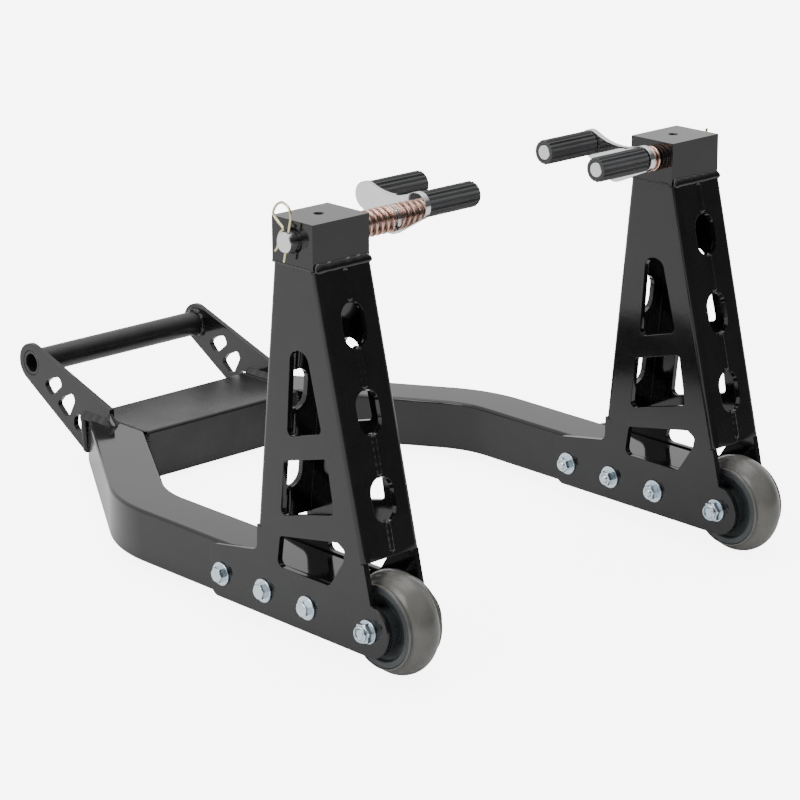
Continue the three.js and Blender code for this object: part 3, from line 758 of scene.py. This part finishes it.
def build_upright(name, side):
    middle_x = side * TRACK / 2
    for half, out in (("outer", side), ("inner", -side)):
        mesh = upright_mesh(middle_x, out)
        add(f"{name}_{half}_plate", mesh, "frame", PAINT, [f"{name}_upright_{half}"])
    add(f"{name}_head", head_mesh(middle_x), "frame", PAINT, [f"{name}_head_block"])
    for i, y in enumerate(FRAME_BOLTS_Y):
        nodes = (f"{name}_frame_bolt_{i + 1}", f"{name}_frame_nut_{i + 1}")
        turn = 0.2 + 0.25 * i + side * 0.1
        build_bolt(f"{name}_bolt_{i + 1}", FRAME_BOLT, middle_x, side, y, FRAME_BOLTS_Z, nodes, turn)
    axle = (f"{name}_axle_bolt", f"{name}_axle_nut")
    build_bolt(f"{name}_axle", AXLE_BOLT, middle_x, 1, 0, AXLE_Z, axle, 0.3)


# A sloping bead from the head block's face down over a flange's top edge, and below it a little.
HEAD_BEAD = [(0, -1.6), (0.5, -0.7), (0.6, 0.4), (0.1, 1.9), (-1, 3.4)]
HEAD_BEAD += [(-2.2, 4.5), (-3.3, 4.9), (-3.6, 0), (-0.8, -1.8)]
# A rounded bead that fills the gap between two plates' edges and is a little proud of both their faces.
SEAM_BEAD = [(2.4, -2.1), (2.4, 2.1), (2.1, 2.7), (1.5, 3.15), (0.8, 3.4), (0, 3.5), (-0.8, 3.4)]
SEAM_BEAD += [(-1.5, 3.15), (-2.1, 2.7), (-2.4, 2.1), (-2.4, -2.1), (-1.5, -3.15), (0, -3.5), (1.5, -3.15)]


def seam_welds(name, side):
    """Beads down the seams between the slots, and all round the head block's foot."""
    x = side * TRACK / 2
    reach = SLOT_RADIUS + SLOT_STRAIGHT - 1
    tops = [TOP_Z - 1, *[z - reach for z in SLOTS_Z]]
    ends = [*[z + reach for z in SLOTS_Z], FLANGE_Z + 1]
    meshes = []
    for k, (top, end) in enumerate(zip(tops, ends)):
        for edge, inward, seed in ((front_y, PLATE / 2, 3), (rear_y, -PLATE / 2, 23)):
            path = [(x, edge(z) + inward, z) for z in (top, end)]
            meshes.append(weld(path, SEAM_BEAD, seed + k + 5 * side, 0.008, 5, LENGTHWISE))
    half = UPRIGHT_WIDTH / 2
    for y, out, seed in ((FRONT_TOP_Y, 1, 41), (REAR_TOP_Y, -1, 47)):
        path = [(x - half + 0.4, y, TOP_Z), (x + half - 0.4, y, TOP_Z)]
        section = [(out * a, b) for a, b in HEAD_BEAD]
        meshes.append(weld(path, section, seed + side, 0.09, 9))
    for sign in (-1, 1):
        path = [(x + sign * (half - 0.6), y, TOP_Z + 0.2) for y in (HEAD_FRONT_Y, HEAD_BACK_Y - 1)]
        meshes.append(weld(path, oval(0.9, 1.3), 53 + side + sign, 0.12, 4))
    add(f"{name}_upright_welds", joined(*meshes), "frame", PAINT)


# ---- Wheels ----
def build_wheel(name, side):
    x = side * TRACK / 2
    body = f"{name}_wheel"
    crown = arc(WHEEL_RADIUS - 14.05, 0, 14, math.radians(74), -math.radians(74), math.radians(7))
    lip = [(RIM_RADIUS + a, b) for a, b in ((0.1, 14.6), (0.3, 14.9), (1, 14.9), (1.4, 14.2))]
    tread = [(r, a) for r, a in crown if r > RIM_RADIUS + 0.9]
    profile = [*lip, *tread, *[(r, -a) for r, a in lip[::-1]]]
    add(f"{name}_tyre_rubber", lathe(profile, 0, AXLE_Z, x, 128), body, TYRE, [f"{name}_tyre"])
    edge = RIM_RADIUS - 0.1
    rim = [(edge, 0), (edge, 14.4), (edge - 0.6, 14.9), (24.1, 14.9), (23.3, 14.3), (22.6, 12.6)]
    barrel = [(13.6, 8.2), (13.1, 9), (12.9, 17.2), (12.2, 17.9), (8.4, 17.9), (7.7, 17.2)]
    half = [*rim, *barrel]
    profile = [*half, (7.7, 0), *[(r, -a) for r, a in half[:0:-1]]]
    add(f"{name}_hub", lathe(profile, 0, AXLE_Z, x, 96), body, HUB, [f"{name}_wheel_hub"])
    inside = UPRIGHT_WIDTH / 2 - PLATE - 0.3
    sleeve = [(4.6, -inside + 0.4), (5, -inside), (6.9, -inside), (7.25, -inside + 0.4)]
    sleeve += [(r, -a) for r, a in sleeve[::-1]]
    add(f"{name}_sleeve", lathe(sleeve, 0, AXLE_Z, x, 48), "frame", ZINC, [f"{name}_axle_sleeve"])


# ---- Fork carriers ----
def fork_plate_outline():
    """A lobe round the spindle and one round each peg, with a hollow between the pegs."""
    reach = math.hypot(PEG_SPREAD, PEG_RISE)
    lower = math.atan2(PEG_RISE, PEG_SPREAD) - math.acos((SPINDLE_LOBE - PEG_LOBE) / reach)
    drop = LOBE_DIP - PEG_RISE
    hollow = (PEG_SPREAD**2 + drop**2 - PEG_LOBE**2) / (2 * (PEG_LOBE - drop))
    half = math.asin(PEG_SPREAD / (PEG_LOBE + hollow))
    return [
        *arc(0, 0, SPINDLE_LOBE, math.pi - lower, 2 * math.pi + lower),
        *arc(PEG_SPREAD, PEG_RISE, PEG_LOBE, lower, math.pi / 2 + half),
        *arc(0, LOBE_DIP + hollow, hollow, 3 * math.pi / 2 + half, 3 * math.pi / 2 - half)[1:-1],
        *arc(-PEG_SPREAD, PEG_RISE, PEG_LOBE, math.pi / 2 - half, math.pi - lower),
    ]


def sleeve_mesh(y, z, start, end):
    """A rubber sleeve with rounded grooves along it, open on its pin."""
    flutes, per = 18, 8
    sides = flutes * per
    facing = 1 if end > start else -1
    length = abs(end - start)
    bore = PIN_RADIUS + 0.25
    crown = [(SLEEVE_RADIUS - 0.08, 0.6), (SLEEVE_RADIUS, 1.2)]
    rows = [(bore, 0), (8.0, 0), *crown, *[(r, length - along) for r, along in crown[::-1]]]
    rows += [(8.2, length), (bore, length)]

    def radius_at(radius, angle):
        if radius < 8.5:
            return radius
        phase = (angle * flutes / (2 * math.pi)) % 1
        groove = max(0, math.sin(math.pi * phase)) ** 1.5
        return radius - 0.95 * groove

    return lathe([(r, facing * along) for r, along in rows], y, z, start, sides, radius_at)


def spring_mesh(start, end):
    """A round wire coil whose end turns lie nearly flat."""
    per_turn, flat, rise = 40, 0.75, 0.6 * COIL_WIRE
    length = abs(end - start)
    facing = 1 if end > start else -1
    climb = length - 2 * COIL_WIRE - 2 * rise
    path = []
    for i in range(int(COIL_TURNS * per_turn) + 1):
        t = i / per_turn
        middle = min(max(t - flat, 0), COIL_TURNS - 2 * flat)
        lead = COIL_WIRE + rise * min(t, flat) / flat
        tail = rise * max(0, t - (COIL_TURNS - flat)) / flat
        along = lead + climb * middle / (COIL_TURNS - 2 * flat) + tail
        a = 2 * math.pi * t
        path.append((start + facing * along, COIL_RADIUS * math.cos(a), COIL_RADIUS * math.sin(a)))
    return sweep(path, circle(0, 0, COIL_WIRE, 14), ACROSS)


# The wire's middle line in (y, z) from the spindle's middle: the straight leg up through the spindle, the
# loop, and the waved leg down round the spindle's back.
CLIP_PATH = (
    (2.9, -14), (-0.5, 0), (-2.3, 8.5), (-3.5, 13), (-4.3, 17), (-3.7, 21.3), (-0.6, 24.7), (4.6, 25.8),
    (9.9, 23), (13, 18.2), (12, 15.4), (8.3, 12.2), (4.6, 9.8), (3.2, 8.3), (4.2, 7.1), (6.2, 5.4),
    (7.8, 2.6), (8.2, 0), (8.6, -3.2), (9.9, -6.3), (11.7, -8),
)
CLIP_TURNS = {"left": 0, "right": math.pi}


def smooth_path(points, steps):
    """A Catmull-Rom curve through the points."""
    out = []
    for i in range(len(points) - 1):
        p = [Vector(points[max(0, min(len(points) - 1, i + k))]) for k in (-1, 0, 1, 2)]
        for j in range(steps):
            t = j / steps
            out.append(0.5 * (2 * p[1] + (p[2] - p[0]) * t + (2 * p[0] - 5 * p[1] + 4 * p[2] - p[3]) * t * t
                              + (3 * p[1] - p[0] - 3 * p[2] + p[3]) * t**3))
    return [*out, Vector(points[-1])]


def build_spindle(name, side, start, end, axis):
    """The spindle from its fork plate's end out to its clip, and the clip through it."""
    body = f"{name}_carrier"
    reach = abs(end - start)
    r = SPINDLE_RADIUS
    shaft = [(0, 0), (r - 0.5, 0), (r, 0.5), (r, reach - 0.4), (r - 0.3, reach), (0, reach)]
    shaft_mesh = lathe([(a, -side * b) for a, b in shaft], 0, 0, end, 64)
    clip_x = end - side * CLIP_FROM_END
    low, middle = Vector(CLIP_PATH[0]), Vector(CLIP_PATH[1])
    lean = (middle - low).normalized() * 12
    drilled = [(clip_x, *(middle - lean)), (clip_x, *(middle + lean))]
    hole = sweep(drilled, circle(0, 0, CLIP_HOLE, 20), ACROSS)
    turned = Matrix.Rotation(CLIP_TURNS[name], 4, "X")
    hole.transform(turned)
    shaft_mesh = carved(shaft_mesh, hole)
    add(f"{name}_shaft", shaft_mesh, body, STEEL, [f"{name}_spindle"], place=axis)
    wire = smooth_path([(clip_x, y, z) for y, z in CLIP_PATH], 8)
    clip = sweep(wire, circle(0, 0, CLIP_WIRE, 16), ACROSS)
    add(f"{name}_clip", clip, body, CLIP, [f"{name}_r_clip"], place=axis @ turned)


def build_pegs(name, side, plate_in, tilted):
    body = f"{name}_carrier"
    peg_end = plate_in - side * PEG_LENGTH
    for place, y in (("front", -PEG_SPREAD), ("rear", PEG_SPREAD)):
        pin = [(0, 0), (PIN_RADIUS, 0), (PIN_RADIUS, 47.0), (PIN_RADIUS - 0.35, 47.35), (0, 47.35)]
        pin_mesh = lathe([(a, -side * b) for a, b in pin], y, PEG_RISE, plate_in - side * 0.1, 48)
        nodes = [f"{name}_{place}_peg_pin"]
        add(f"{name}_{place}_pin", pin_mesh, body, STEEL, nodes, place=tilted)
        sleeve = sleeve_mesh(y, PEG_RISE, plate_in - side * 0.6, peg_end)
        nodes = [f"{name}_{place}_peg_sleeve"]
        add(f"{name}_{place}_sleeve", sleeve, body, SLEEVE, nodes, 50, tilted)


def build_spring(name, side, block, axis):
    """The washer against the fork plate, and the coil between it and the head block."""
    body = f"{name}_slider"
    washer = washer_mesh(block - side * (SPRING_LENGTH - 0.1), side, 0, 0, 9.6, 7.5, 1.2)
    add(f"{name}_washer", washer, body, CHROME, [f"{name}_spring_washer"], place=axis)
    first, last = block - side * 0.15, block - side * (SPRING_LENGTH - 1.45)
    coil = spring_mesh(first, last)
    spring = add(f"{name}_coil", coil, body, COPPER, [f"{name}_spring"], place=axis)
    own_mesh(spring)


def build_carrier(name, side):
    block = side * (TRACK / 2 - UPRIGHT_WIDTH / 2)
    outer = side * (TRACK / 2 + UPRIGHT_WIDTH / 2)
    plate_out = block - side * SPRING_LENGTH
    plate_in = block - side * (SPRING_LENGTH + CARRIER_PLATE)
    axis = Matrix.Translation((0, SPINDLE_Y, SPINDLE_Z))
    tilted = axis @ Matrix.Rotation(TILTS[name], 4, "X")
    bore = circle(0, 0, SPINDLE_RADIUS + 0.1)
    plate = plate_across(fork_plate_outline(), [bore], plate_in, plate_out, 0.3)
    nodes = [f"{name}_fork_plate"]
    add(f"{name}_peg_plate", plate, f"{name}_carrier", CHROME, nodes, place=tilted)
    build_spindle(name, side, plate_in, outer + side * SPINDLE_PROUD, axis)
    build_pegs(name, side, plate_in, tilted)
    build_spring(name, side, block, axis)


def arm_welds(side):
    """Beads round an arm's foot, down its corners with the rail's end, and round the handle tube."""
    out, inner = side * ARM_OUTER_X, side * (ARM_OUTER_X - ARM_THICKNESS)
    front, back, top = ARM_FRONT[0], CROSSBAR_BACK_Y, RAIL_HEIGHT
    round_foot = [(out, back, top), (out, front, top), (inner, front, top), (inner, back, top)]
    meshes = [weld(round_foot, fillet(4.4, -side), 73 + side, 0.07, 9)]
    tip = [(out + side * 1.5, front, top), (inner + side * 0.5, front, top)]
    meshes.append(weld(tip, fillet(9, -side), 77 + side, 0.08, 9))
    foot = 8.5
    shifts = ((2, 0.6, top - 1), (2.4, -0.4, 24), (2.8, -1, foot))
    column = [(out - side * x, back + y, z) for x, y, z in shifts]
    meshes.append(weld(column, oval(3.2, 3.2), 83 + side, 0.08, 9, LENGTHWISE))
    inside = [(inner, back, z) for z in (22, foot)]
    meshes.append(weld(inside, fillet(1.8, -side), 87 + side, 0.08, 9, LENGTHWISE))
    ring = arc(*EYE, HANDLE_RADIUS + 0.5, 0, 2 * math.pi, math.radians(9))
    path = [(inner, y, z) for y, z in ring]
    meshes.append(weld(path, oval(2.1, 2.6), 91 + side, 0.35, 8, ACROSS))
    return meshes


def frame_welds():
    """Beads round the crossbar's ends, and those of both arms."""
    meshes = []
    for side in (-1, 1):
        x = side * CROSSBAR_HALF
        front, back, top = CROSSBAR_FRONT_Y, CROSSBAR_BACK_Y, RAIL_HEIGHT
        meshes.append(weld([(x, front + 1, top), (x, back - 1, top)], oval(1.9, 0.7), 61 + side, 0.15))
        for y, seed in ((front, 65), (back, 69)):
            path = [(x, y, z) for z in (2, 38)]
            meshes.append(weld(path, oval(1.9, 1.2), seed + side, 0.2, up=LENGTHWISE))
        meshes += arm_welds(side)
    add("frame_welds", joined(*meshes), "frame", PAINT)


# ---- Floor, light and camera ----
def build_floor():
    """A pale floor that shows as nearly white, while what it throws back onto the object is softer."""
    mesh = mesh_of([(-8, -8, 0), (8, -8, 0), (8, 8, 0), (-8, 8, 0)], [(0, 1, 2, 3)], "floor")
    floor = bpy.data.objects.new("floor", mesh)
    bpy.context.scene.collection.objects.link(floor)
    n = Nodes("pale_floor", Base_Color=(0.9, 0.9, 0.9, 1), Roughness=0.7, Emission_Color=(1, 1, 1, 1))
    seen = n.make("ShaderNodeLightPath").outputs["Is Camera Ray"]
    n.join(n.ramp(seen, 0, 1, 0, FLOOR_GLOW), n.shader.inputs["Emission Strength"])
    mesh.materials.append(n.material)


def build_world():
    """A white backdrop behind the stand and overhead, and a dim room on the side of the viewer."""
    world = bpy.data.worlds.new("studio")
    bpy.context.scene.world = world
    world.use_nodes = True
    tree = world.node_tree
    back = tree.nodes["Background"]
    back.inputs["Color"].default_value = (1, 1, 1, 1)
    place = tree.nodes.new("ShaderNodeTexCoord").outputs["Generated"]
    split = tree.nodes.new("ShaderNodeSeparateXYZ")
    tree.links.new(place, split.inputs[0])
    most = tree.nodes.new("ShaderNodeMath")
    most.operation = "MAXIMUM"
    slopes = (("Y", (-0.5, 0.15, ROOM, BACKDROP)), ("Z", (0.35, 0.8, 0.0, OVERHEAD)))
    for (axis, values), strength in zip(slopes, most.inputs):
        slope = tree.nodes.new("ShaderNodeMapRange")
        slope.interpolation_type = "SMOOTHSTEP"
        for socket, value in zip(("From Min", "From Max", "To Min", "To Max"), values):
            slope.inputs[socket].default_value = value
        tree.links.new(split.outputs[axis], slope.inputs["Value"])
        tree.links.new(slope.outputs["Result"], strength)
    tree.links.new(most.outputs[0], back.inputs["Strength"])


def build_lights():
    lights = (
        ("overhead", (0.0, 0.3, 2.2), (0, 0, 0), 2.4, 2.0, 30),
        ("near_side", (-2.4, 0.0, 1.5), (0, 0, 0.15), 1.2, 1.2, 22),
    )
    for name, place, target, width, height, power in lights:
        data = bpy.data.lights.new(name, "AREA")
        data.shape = "RECTANGLE"
        data.size = width
        data.size_y = height
        data.energy = power
        light = bpy.data.objects.new(name, data)
        light.location = place
        aim = Vector(target) - Vector(place)
        light.rotation_mode = "QUATERNION"
        light.rotation_quaternion = aim.to_track_quat("-Z", "Y")
        bpy.context.scene.collection.objects.link(light)


def build_camera():
    """The photograph's viewpoint, with a slight roll."""
    data = bpy.data.cameras.new("camera")
    data.lens = 134.4
    data.sensor_width = 36
    data.clip_end = 50
    camera = bpy.data.objects.new("camera", data)
    bpy.context.scene.collection.objects.link(camera)
    azimuth, elevation, roll = (math.radians(angle) for angle in CAMERA_ANGLES)
    level_reach = math.cos(elevation)
    back = Vector((math.sin(azimuth) * level_reach, -math.cos(azimuth) * level_reach, math.sin(elevation)))
    right = Vector((math.cos(azimuth), math.sin(azimuth), 0))
    up = back.cross(right)
    across = right * math.cos(roll) + up * math.sin(roll)
    above = up * math.cos(roll) - right * math.sin(roll)
    axes = Matrix((across, above, back)).transposed()
    place = STAND @ Matrix.Translation(CAMERA_PLACE) @ axes.to_4x4()
    camera.rotation_mode = "QUATERNION"
    camera.location = place.translation
    camera.rotation_quaternion = place.to_3x3().normalized().to_quaternion()
    bpy.context.scene.camera = camera


build_frame()
frame_welds()
for side_name, side_sign in SIDES:
    build_upright(side_name, side_sign)
    seam_welds(side_name, side_sign)
    build_wheel(side_name, side_sign)
    build_carrier(side_name, side_sign)
build_floor()
build_world()
build_lights()
build_camera()

bpy.context.view_layer.update()
